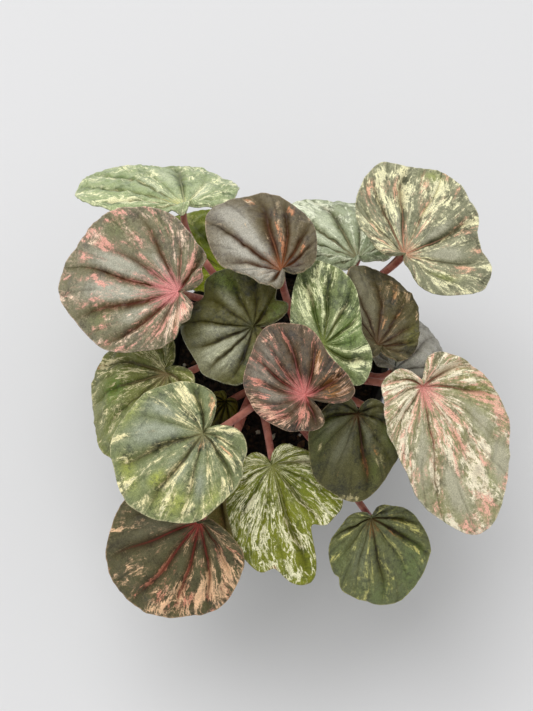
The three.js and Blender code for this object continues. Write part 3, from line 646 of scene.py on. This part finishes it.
def perlite_chalk():
    skin = Skin("perlite")
    tone = skin.noise(skin.place(), 900, 4, 0.7)
    skin.start("#b9b3a6", "#e4e0d6", skin.step(tone, 0.35, 0.65))
    skin.bump(tone, 0.5, 0.0005)
    return skin.surface(Roughness=0.9)


def bark_chip():
    skin = Skin("bark_chip")
    tone = skin.noise(skin.place(), 420, 5, 0.65, 0.8)
    skin.start("#2c1c11", "#6d4c31", skin.step(tone, 0.35, 0.7))
    skin.bump(tone, 0.5, 0.0006)
    return skin.surface(Roughness=0.85)


def pot_plastic():
    """Black moulded plastic with a little dust."""
    skin = Skin("pot_plastic")
    where = skin.place()
    cloud = skin.noise(where, 60, 4, 0.6)
    skin.start("#18191a", "#242628", skin.step(cloud, 0.3, 0.7))
    dusty = skin.step(skin.noise(where, 420, 4, 0.7), 0.58, 0.75)
    skin.lay("#3b3a37", skin.times(dusty, 0.35))
    skin.bump(skin.noise(where, 1500, 2, 0.5), 0.12, 0.0002)
    return skin.surface(Roughness=skin.step(cloud, 0.3, 0.7, 0.36, 0.5))


def floor_paint():
    skin = Skin("pale_floor")
    tone = skin.step(skin.noise(skin.place(), 1.5, 2, 0.5), 0.3, 0.7)
    skin.start("#e2e2e3", "#e4e4e5", tone)
    return skin.surface(Roughness=0.8)


def deselect_all():
    bpy.ops.object.select_all(action="DESELECT")


def only(piece):
    deselect_all()
    piece.select_set(True)
    bpy.context.view_layer.objects.active = piece


def edit_all(piece):
    """Opens a piece's mesh with all of it selected."""
    only(piece)
    bpy.ops.object.mode_set(mode="EDIT")
    bpy.ops.mesh.select_all(action="SELECT")


def face_outwards():
    """Turns all faces of the open mesh outwards and closes it."""
    bpy.ops.mesh.select_all(action="SELECT")
    bpy.ops.mesh.normals_make_consistent(inside=False)
    bpy.ops.object.mode_set(mode="OBJECT")


def join(parts):
    deselect_all()
    for part in parts:
        part.select_set(True)
    bpy.context.view_layer.objects.active = parts[0]
    bpy.ops.object.join()
    return bpy.context.object


def settle(piece, name, material_list):
    """Names a finished piece, moves its place into its mesh and puts it on its body."""
    piece.name = name
    piece.data.name = name
    only(piece)
    bpy.ops.object.transform_apply(location=True, rotation=True, scale=True)
    for material in material_list:
        piece.data.materials.append(material)
    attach(piece, "root")


def read_points(mesh):
    flat = np.zeros(len(mesh.vertices) * 3)
    mesh.vertices.foreach_get("co", flat)
    return flat.reshape(-1, 3)


def write_points(mesh, points):
    mesh.vertices.foreach_set("co", np.asarray(points, float).ravel())
    mesh.update()


def store(mesh, name, values):
    """Keeps a number or a direction for each point, for a skin to read."""
    values = np.asarray(values, np.float32)
    if values.ndim == 2:
        mesh.attributes.new(name, "FLOAT_VECTOR", "POINT").data.foreach_set("vector", values.ravel())
    else:
        mesh.attributes.new(name, "FLOAT", "POINT").data.foreach_set("value", values)


def smooth(value, low, high):
    t = np.clip((value - low) / (high - low), 0, 1)
    return t * t * (3 - 2 * t)


def bell(value, half_width):
    return np.exp(-((value / half_width) ** 2))


def off_angle(degrees, at):
    """Degrees from an angle, between -180 and 180."""
    return (degrees - at + 540) % 360 - 180


def ragged(angle, seed):
    """Small uneven swings of the blade's edge, between about -1 and 1."""
    draw = random.Random(seed)
    total = np.zeros_like(angle)
    for waves in (4, 6, 11, 15, 21, 29, 37):
        total += np.sin(waves * angle + draw.uniform(0, math.tau)) * draw.uniform(0.3, 1.0) * 6 / (waves + 6)
    return total


def lumps(x, y, seed, size, waves=9):
    """Low random swells, between about -1 and 1."""
    draw = random.Random(seed)
    total = np.zeros_like(x)
    for _ in range(waves):
        turn = draw.uniform(0, math.tau)
        wave = draw.uniform(0.6, 1.6) * math.tau / size
        total += np.sin(wave * (x * math.cos(turn) + y * math.sin(turn)) + draw.uniform(0, math.tau))
    return total / math.sqrt(waves)


def compass(turn, tilt):
    turn, tilt = math.radians(turn), math.radians(tilt)
    return np.array([math.sin(tilt) * math.cos(turn), math.sin(tilt) * math.sin(turn), math.cos(tilt)])


def blade_directions(leaf):
    """Along towards the tip, left across the blade, and out of its upper side."""
    up = compass(*leaf["faces"])
    turn = math.radians(leaf["heading"])
    along = np.array([math.cos(turn), math.sin(turn), 0.0])
    along -= up * (along @ up)
    along /= np.linalg.norm(along)
    return along, np.cross(up, along), up


def edge_reach(leaf, angle):
    """Distance from the join to the blade's edge, at an angle from the tip."""
    half_long, half_wide = leaf["long"] / 2, leaf["wide"] / 2
    c, s = np.cos(angle), np.sin(angle)
    a = (c / half_long) ** 2 + (s / half_wide) ** 2
    b = -2 * c * leaf["ahead"] / half_long ** 2
    k = (leaf["ahead"] / half_long) ** 2 - 1
    reach = (-b + np.sqrt(np.maximum(b * b - 4 * a * k, 0))) / (2 * a)
    reach = reach * (1 + leaf.get("skew", 0) * s)
    degrees = np.degrees(angle)
    notch = leaf.get("notch", (0.75, 24))
    for at, deep, wide in [(180, *notch), *leaf.get("clefts", ())]:
        reach = reach * (1 - deep * bell(off_angle(degrees, at), wide))
    reach = reach * (1 + TIP_POINT * bell(degrees, 14))
    return reach * (1 + SCALLOP * np.sin(9 * angle))


def vein_gaps(leaf):
    """The gaps between main veins, once round, each from its first to its last angle."""
    veins = leaf.get("veins", VEINS)
    gaps = []
    for first, last in zip(veins, veins[1:] + veins[:1]):
        gaps.append((first - 360 if last < first else first, last))
    return np.radians(np.array(gaps, float))


def bent(vein, share):
    """A vein's angle, bending towards the tip on its way out. The one behind the join stays straight."""
    still = np.abs(np.abs(vein) - math.pi) < 1e-6
    return np.where(still, vein, vein * (1 - VEIN_SWEEP * share))


def spread_grid(leaf, u, v, seed):
    """Spreads a grid over the blade, u once round from gap to gap and v from the join to the edge."""
    gaps = vein_gaps(leaf)
    turn = np.clip(u, 0, 1) * len(gaps)
    gap = np.minimum(turn.astype(int), len(gaps) - 1)
    following = (gap + 1) % len(gaps)
    between = turn - gap
    share = v ** 0.95
    draw = random.Random(seed + 50)
    turns = np.array([draw.uniform(0, math.tau) for _ in gaps])
    forces = np.array([draw.choice(VEIN_FORCES) for _ in gaps])
    sway = VEIN_SWAY * smooth(share, 0.1, 0.6)
    low = bent(gaps[gap, 0], share) + sway * np.sin(7 * share + turns[gap])
    high = bent(gaps[gap, 1], share) + sway * np.sin(7 * share + turns[following])
    angle = low + between * (high - low)
    wide = gaps[gap, 1] - gaps[gap, 0]
    out = edge_reach(leaf, angle) * (1 + RAGGED * ragged(angle, seed)) * share
    force = forces[gap] + (forces[following] - forces[gap]) * smooth(between, 0.2, 0.8)
    return SimpleNamespace(
        share=share, between=between, low=low, high=high, angle=angle, out=out, force=force,
        wide=np.degrees(wide), raw=gaps[gap, 0] + between * wide,
        x=out * np.cos(angle), y=out * np.sin(angle),
        bulge=1 - force * (1 - np.abs(np.sin(np.pi * between)) ** QUILT),
    )


def quilting(leaf, at):
    """Quilts raised between the veins, furrowed by a forked vein along each and one on each of its sides."""
    quilted = BULGE * leaf.get("relief", 1) * (at.wide / 40) ** 0.7
    fork = smooth(at.share, 0.4, 0.8) * bell(at.between - 0.5, 0.08)
    side = smooth(at.share, 0.62, 0.95) * bell(np.abs(at.between - 0.5) - 0.24, 0.05)
    quilts = quilted * at.bulge * at.share ** 0.8 * (1 - 0.75 * at.share ** 3)
    return quilts - quilted * (0.2 * fork + 0.1 * side) * (1 - 0.5 * at.share ** 4)


def blade_height(leaf, at, seed):
    """Height of the upper side: quilts, funnel, rippled and drooping edge, fold, wrinkles and ruffles."""
    height = quilting(leaf, at)
    height += FUNNEL * (1 - np.exp(-((at.share * 3) ** 2)))
    height += RIPPLE * at.share ** 5 * np.sin(RIPPLE_WAVES * at.angle)
    height -= DROOP * (at.out / (0.7 * leaf["long"])) ** 2.5
    spine = 0.08 * leaf["long"]
    height += leaf.get("fold", 0) * (np.hypot(at.y, spine) - spine)
    wrinkles = 0.34 * lumps(at.x, at.y, seed, 9) + 0.2 * lumps(at.x, at.y, seed + 1, 4.5)
    wrinkles = wrinkles + 0.12 * lumps(at.raw * 24, at.out, seed + 2, 3)
    height += wrinkles * smooth(at.share, 0.03, 0.3)
    for angle, wide, size in leaf.get("ruffle", ()):
        away = off_angle(np.degrees(at.raw), angle) / wide
        height += size * np.sin(7 * away + 3 * at.share) * bell(away, 1) * smooth(at.share, 0.45, 1.0)
    return height


def marks(patches, degrees, share, least=0.0):
    """A mask of soft patches, each at an angle and a share of the way out, with its half widths."""
    total = np.full_like(share, least)
    for at, out, wide, deep, amount in patches:
        across = off_angle(degrees, at) / wide
        along = (share - out / 100) / (deep / 100)
        total = np.maximum(total, amount / 100 * np.exp(-(across ** 2) - along ** 2))
    return total


def skin_readings(leaf, at, height, seed):
    """What a leaf's skins read: nearness to veins, two ways its grain runs, and the masks of its marks."""
    degrees = np.degrees(at.raw)
    apart = at.out * np.minimum(at.angle - at.low, at.high - at.angle) + 0.9 * (1 - at.force)
    branch = at.out * np.abs(at.between - 0.5) * (at.high - at.low)
    branch = branch + FAR_FROM_VEIN * (1 - smooth(at.share, 0.4, 0.7))
    readings = {
        "share": at.share,
        "ridge": 1 - (1 - at.bulge) * smooth(at.share, 0.0, 0.2) * (1 - 0.8 * at.share ** 2.5),
        "apart": np.minimum(apart, FAR_FROM_VEIN),
        "branch": np.minimum(branch, FAR_FROM_VEIN),
        "flat": np.stack([at.x + 97.0 * seed, at.y, height], 1),
        "grain": np.stack([np.cos(at.raw) + 3.1 * seed, np.sin(at.raw), at.out / 75], 1),
    }
    # Among the marks, the silvery patches are partly the leaf's silver and partly painted sheen.
    for kind in MARK_KINDS:
        readings[kind] = marks(leaf.get(kind, ()), degrees, at.share, leaf.get(kind + "_all", 0))
    bare = marks(leaf.get("bare", ()), degrees, at.share)
    readings["cream"] -= bare
    readings["blush"] -= bare
    return readings


def flat_grid(columns, rows):
    """A grid from 0 to 1 both ways, in the xy plane."""
    deselect_all()
    bpy.ops.mesh.primitive_grid_add(x_subdivisions=columns, y_subdivisions=rows, size=1.0)
    piece = bpy.context.object
    points = read_points(piece.data)
    return piece, points[:, 0] + 0.5, points[:, 1] + 0.5


def close_blade(piece, up):
    """Joins the seam and the pole, thickens the sheet downwards and rounds its rim."""
    edit_all(piece)
    bpy.ops.mesh.remove_doubles(threshold=1e-6)
    down = tuple(float(c) for c in -up * BLADE_THICKNESS * MM)
    bpy.ops.mesh.extrude_region_move(TRANSFORM_OT_translate={"value": down})
    mesh = bmesh.from_edit_mesh(piece.data)
    share = mesh.verts.layers.float["share"]
    lower = {vert.index for vert in mesh.verts if vert.select}
    on_rim = {vert.index for vert in mesh.verts if vert[share] > 0.9999}
    for face in mesh.faces:
        face.select = False
    mesh.select_mode = {"EDGE"}
    for edge in mesh.edges:
        a, b = (vert.index for vert in edge.verts)
        edge.select = a in on_rim and b in on_rim and (a in lower) == (b in lower)
    bmesh.update_edit_mesh(piece.data)
    bpy.ops.mesh.bevel(offset=RIM_BEVEL * MM, segments=2, affect="EDGES")
    bpy.ops.mesh.select_all(action="SELECT")
    bpy.ops.mesh.normals_make_consistent(inside=False)
    if bmesh.from_edit_mesh(piece.data).calc_volume(signed=True) < 0:
        bpy.ops.mesh.flip_normals()
    bpy.ops.object.mode_set(mode="OBJECT")
    bpy.ops.object.shade_smooth()


def make_blade(name, leaf, seed):
    """One blade: a grid spread over it, raised, closed, and given a skin on each side."""
    per_gap, rings = (6, 16) if leaf["long"] < 20 else (SPOKES_PER_GAP, RINGS)
    piece, u, v = flat_grid(per_gap * len(vein_gaps(leaf)), rings)
    at = spread_grid(leaf, u, v, seed)
    height = blade_height(leaf, at, seed)
    along, left, up = blade_directions(leaf)
    points = np.array(leaf["join"]) + np.outer(at.x, along) + np.outer(at.y, left) + np.outer(height, up)
    write_points(piece.data, points * MM)
    for key, values in skin_readings(leaf, at, height, seed).items():
        store(piece.data, key, values)
    close_blade(piece, up)
    settle(piece, "leaf_" + name, [leaf_skin(name, leaf), underside_skin(name, leaf)])
    normals = np.zeros(len(piece.data.polygons) * 3)
    piece.data.polygons.foreach_get("normal", normals)
    under = normals.reshape(-1, 3) @ up < 0.0
    piece.data.polygons.foreach_set("material_index", under.astype(np.int32))
    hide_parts("blade_" + name)


def petiole_points(leaf):
    """The petiole's cubic curve: up out of the stem, over to its blade, and square into its underside."""
    along, left, up = blade_directions(leaf)
    stem_x, stem_y = STEMS[leaf["stem"]]
    tip = np.array(leaf["join"]) - up * (BLADE_THICKNESS + PETIOLE_GAP)
    lean = math.atan2(tip[1] - stem_y, tip[0] - stem_x)
    offset = STEM_RADIUS * 0.4
    start = np.array([stem_x + offset * math.cos(lean), stem_y + offset * math.sin(lean), SOIL_TOP + 1.0])
    reach = np.linalg.norm(tip - start)
    out = np.array([tip[0] - start[0], tip[1] - start[1], 0.0])
    sideways = np.array([-out[1], out[0], 0.0]) / np.hypot(out[0], out[1])
    first = start + 0.15 * out + sideways * leaf.get("bow", 0)
    first[2] += leaf.get("rise", PETIOLE_RISE) * reach
    comes = leaf.get("comes", (0, 0))
    last = tip - up * leaf.get("hook", PETIOLE_HOOK) * reach + along * comes[0] + left * comes[1]
    return start, first, last, tip, up


def make_petiole(leaf):
    """A tapering fleshy tube from the stem into the underside of its blade."""
    start, first, last, tip, up = petiole_points(leaf)
    deselect_all()
    bpy.ops.curve.primitive_bezier_curve_add()
    curve = bpy.context.object.data
    curve.dimensions = "3D"
    curve.resolution_u = 30
    curve.bevel_depth = MM
    curve.bevel_resolution = 4
    curve.use_fill_caps = True
    near, far = curve.splines[0].bezier_points
    for point in (near, far):
        point.handle_left_type = "FREE"
        point.handle_right_type = "FREE"
    near.co = Vector(start * MM)
    near.handle_left = Vector((start - (first - start) * 0.1) * MM)
    near.handle_right = Vector(first * MM)
    far.co = Vector((tip + up * PETIOLE_SINK) * MM)
    far.handle_left = Vector(last * MM)
    far.handle_right = Vector((tip + up * 2) * MM)
    near.radius = PETIOLE_ROOT
    far.radius = PETIOLE_TIP
    only(bpy.context.object)
    bpy.ops.object.convert(target="MESH")
    return bpy.context.object


def make_stub(x, y):
    """A short thick stem: a cylinder with a stepped, rounded crown."""
    deselect_all()
    low, high = SOIL_TOP - STEM_DEPTH, SOIL_TOP + STEM_HEIGHT
    bpy.ops.mesh.primitive_cylinder_add(
        vertices=32, radius=STEM_RADIUS * MM, depth=(high - low) * MM,
        location=(x * MM, y * MM, (low + high) / 2 * MM),
    )
    piece = bpy.context.object
    bpy.ops.object.mode_set(mode="EDIT")
    mesh = bmesh.from_edit_mesh(piece.data)
    bpy.ops.mesh.select_all(action="DESELECT")
    for face in mesh.faces:
        face.select = face.normal.z > 0.9
    bmesh.update_edit_mesh(piece.data)
    for inset, lift in ((0.5, 0.0), (0.6, 0.45), (0.9, 0.4), (1.1, 0.25)):
        bpy.ops.mesh.inset(thickness=inset * MM, depth=lift * MM)
    bpy.ops.object.mode_set(mode="OBJECT")
    return piece


def make_stem(name):
    """A stem with the petioles of all the blades that it carries."""
    petioles = [leaf for leaf in BLADES.values() if leaf["stem"] == name]
    piece = join([make_stub(*STEMS[name])] + [make_petiole(leaf) for leaf in petioles])
    piece.data.materials.clear()
    edit_all(piece)
    face_outwards()
    bpy.ops.object.shade_smooth_by_angle(angle=math.radians(50))
    settle(piece, name + "_petioles", [SKINS["petiole"]])
    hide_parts(name)


def pot_inside(z):
    mouth = POT_RIM_RADIUS - RIM_BAND_STEP
    return POT_FOOT_RADIUS + (mouth - POT_FOOT_RADIUS) * (z / POT_HEIGHT) - POT_WALL


def pot_outside(z):
    return pot_inside(z) + POT_WALL


def soil_height(x, y, share):
    waves = np.sin(x * 0.31 + 1.3) * np.cos(y * 0.27 - 0.4) + 0.6 * np.sin(x * 0.55 - y * 0.47)
    return SOIL_TOP + SOIL_LUMP * waves * (1 - share ** 4) - 1.5 * share ** 3


def make_soil():
    """The filled pot's mix: a lumpy, crumbly top over a plain tapered body."""
    piece, u, v = flat_grid(110, 46)
    turn = u * math.tau
    reach = (pot_inside(SOIL_TOP - 2) - 0.4) * v
    x, y = reach * np.cos(turn), reach * np.sin(turn)
    crumbs = 0.35 * lumps(x, y, 71, 5, 14) + 0.3 * lumps(x, y, 72, 2.2, 18)
    top = soil_height(x, y, v) + crumbs * smooth(1 - v, 0.0, 0.05)
    write_points(piece.data, np.stack([x, y, top], 1) * MM)
    edit_all(piece)
    bpy.ops.mesh.remove_doubles(threshold=1e-6)
    bpy.ops.mesh.extrude_region_move(TRANSFORM_OT_translate={"value": (0, 0, -SOIL_DEPTH * MM)})
    bpy.ops.object.mode_set(mode="OBJECT")
    flatten_foot(piece, POT_FLOOR + 0.3)
    edit_all(piece)
    face_outwards()
    bpy.ops.object.shade_smooth_by_angle(angle=math.radians(40))
    settle(piece, "soil_body", [SKINS["soil"]])
    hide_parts("soil")


def flatten_foot(piece, low):
    """Lays the soil's extruded, still selected end flat over the pot's floor."""
    points = read_points(piece.data)
    chosen = np.zeros(len(piece.data.vertices), bool)
    piece.data.vertices.foreach_get("select", chosen)
    points[chosen, 2] = low * MM
    points[chosen, :2] *= pot_inside(low) / pot_inside(SOIL_TOP - 2)
    write_points(piece.data, points)


def one_crumb(flatness):
    """A broken lump: an icosphere knocked uneven by moving its points."""
    deselect_all()
    bpy.ops.mesh.primitive_ico_sphere_add(subdivisions=2, radius=1.0)
    piece = bpy.context.object
    points = read_points(piece.data)
    across, along = points[:, 0] + points[:, 2] * 0.7, points[:, 1] - points[:, 2] * 0.4
    points *= (1 + 0.22 * lumps(across, along, int(flatness * 90), 1.6))[:, None]
    points[:, 2] *= flatness
    write_points(piece.data, points)
    return piece


def clear_of_stems(x, y):
    return all(math.hypot(x - sx, y - sy) > STEM_RADIUS + 1.5 for sx, sy in STEMS.values())


def scatter(name, skin, count, flatness, sizes, seed):
    """Copies of one crumb strewn over the soil between the stems, as one piece."""
    draw = random.Random(seed)
    first = one_crumb(flatness)
    copies = []
    for _ in range(count):
        reach = LITTER_REACH * math.sqrt(draw.random())
        turn = draw.uniform(0, math.tau)
        x, y = reach * math.cos(turn), reach * math.sin(turn)
        size = draw.uniform(*sizes)
        spin = [draw.uniform(-0.5, 0.5), draw.uniform(-0.5, 0.5), draw.uniform(0, math.tau)]
        if not clear_of_stems(x, y):
            continue
        copy = first.copy()
        copy.data = first.data.copy()
        bpy.context.collection.objects.link(copy)
        z = float(soil_height(np.array(x), np.array(y), reach / SOIL_SPREAD)) + size * flatness * 0.35
        copy.location = (x * MM, y * MM, z * MM)
        copy.rotation_euler = spin
        stretch = draw.uniform(0.7, 1.3)
        copy.scale = (size * stretch * MM, size / stretch * MM, size * MM)
        copies.append(copy)
    bpy.data.objects.remove(first)
    piece = join(copies)
    bpy.ops.object.shade_smooth()
    settle(piece, name, [SKINS[skin]])


def pot_profile():
    """Radius and height of each ring of the pot, from its foot up the outside and down the inside."""
    band = POT_HEIGHT - RIM_BAND_HEIGHT
    mouth = pot_inside(POT_HEIGHT)
    return [
        (29.5, 0.0), (30.6, 0.2), (31.4, 0.75), (32.0, 1.5), (pot_outside(2.5), 2.5),
        (pot_outside(20), 20), (pot_outside(40), 40), (pot_outside(60), 60),
        (pot_outside(band - 1.2), band - 1.2), (pot_outside(band) + 0.5, band - 0.6),
        (POT_RIM_RADIUS - 0.35, band + 0.1), (POT_RIM_RADIUS, band + 1.0),
        (POT_RIM_RADIUS, POT_HEIGHT - 1.1), (POT_RIM_RADIUS - 0.2, POT_HEIGHT - 0.4),
        (POT_RIM_RADIUS - 0.6, POT_HEIGHT), (mouth + 0.6, POT_HEIGHT), (mouth + 0.1, POT_HEIGHT - 0.5),
        (pot_inside(POT_HEIGHT - 2), POT_HEIGHT - 2), (pot_inside(40), 40),
        (pot_inside(POT_FLOOR + 1.5), POT_FLOOR + 1.5), (pot_inside(POT_FLOOR) - 1.2, POT_FLOOR),
    ]


def make_pot():
    """A thin tapered wall grown ring by ring from its foot, with holes drilled through its floor."""
    deselect_all()
    profile = pot_profile()
    radius, low = profile[0]
    bpy.ops.mesh.primitive_circle_add(
        vertices=POT_SIDES, radius=radius * MM, location=(0, 0, low * MM), fill_type="NGON",
    )
    piece = bpy.context.object
    edit_all(piece)
    for new_radius, height in profile[1:]:
        bpy.ops.mesh.extrude_region_move(TRANSFORM_OT_translate={"value": (0, 0, (height - low) * MM)})
        factor = new_radius / radius
        bpy.ops.transform.resize(value=(factor, factor, 1), center_override=(0, 0, height * MM))
        radius, low = new_radius, height
    face_outwards()
    for i in range(DRAIN_HOLES):
        turn = (i + 0.5) * math.tau / DRAIN_HOLES
        drill_hole(piece, DRAIN_CIRCLE * math.cos(turn), DRAIN_CIRCLE * math.sin(turn))
    only(piece)
    bpy.ops.object.shade_smooth_by_angle(angle=math.radians(35))
    settle(piece, "nursery_pot", [SKINS["pot"]])
    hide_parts("pot")


def drill_hole(pot, x, y):
    deselect_all()
    bpy.ops.mesh.primitive_cylinder_add(
        vertices=32, radius=DRAIN_RADIUS * MM, depth=8 * MM, location=(x * MM, y * MM, 1 * MM),
    )
    drill = bpy.context.object
    only(pot)
    cut = pot.modifiers.new("drain", "BOOLEAN")
    cut.operation = "DIFFERENCE"
    cut.solver = "EXACT"
    cut.object = drill
    bpy.ops.object.modifier_apply(modifier=cut.name)
    bpy.data.objects.remove(drill)


def make_floor():
    deselect_all()
    bpy.ops.mesh.primitive_plane_add(size=FLOOR_SIZE, location=(0, 0, 0))
    floor = bpy.context.object
    floor.name = "floor"
    floor.data.materials.append(floor_paint())


def light_studio():
    """An even white surround and one large soft window high over the plant."""
    world = bpy.data.worlds.new("studio")
    world.use_nodes = True
    sky = world.node_tree.nodes["Background"]
    sky.inputs["Color"].default_value = (1.0, 1.0, 1.0, 1)
    sky.inputs["Strength"].default_value = SKY_STRENGTH
    bpy.context.scene.world = world
    direction = Vector(WINDOW_AIM) - Vector(WINDOW_PLACE)
    turned = direction.to_track_quat("-Z", "Y").to_euler()
    bpy.ops.object.light_add(type="AREA", location=WINDOW_PLACE, rotation=turned)
    window = bpy.context.object
    window.name = "window"
    window.data.shape = "SQUARE"
    window.data.size = WINDOW_SIZE
    window.data.energy = WINDOW_POWER
    bpy.context.scene.view_settings.view_transform = "Standard"


def place_camera():
    rise = math.radians(VIEW_RISE)
    x, y, z = VIEW_TARGET
    place = (x, y - VIEW_DISTANCE * math.cos(rise), z + VIEW_DISTANCE * math.sin(rise))
    bpy.ops.object.camera_add(location=[c * MM for c in place], rotation=(math.radians(90) - rise, 0, 0))
    camera = bpy.context.object
    camera.data.sensor_fit = "VERTICAL"
    camera.data.sensor_height = 36
    camera.data.lens = VIEW_LENS
    bpy.context.scene.camera = camera


SKINS = {
    "petiole": petiole_skin(),
    "soil": soil_mix(),
    "perlite": perlite_chalk(),
    "bark": bark_chip(),
    "pot": pot_plastic(),
}

make_pot()
make_soil()
scatter("perlite_grains", "perlite", 46, 0.8, (0.5, 1.3), 5)
scatter("bark_chips", "bark", 70, 0.45, (0.9, 2.4), 6)
scatter("soil_crumbs", "soil", 220, 0.8, (0.5, 1.5), 7)
for stem_name in STEMS:
    make_stem(stem_name)
for number, (leaf_name, leaf_look) in enumerate(BLADES.items()):
    make_blade(leaf_name, leaf_look, number + 1)
make_floor()
light_studio()
place_camera()
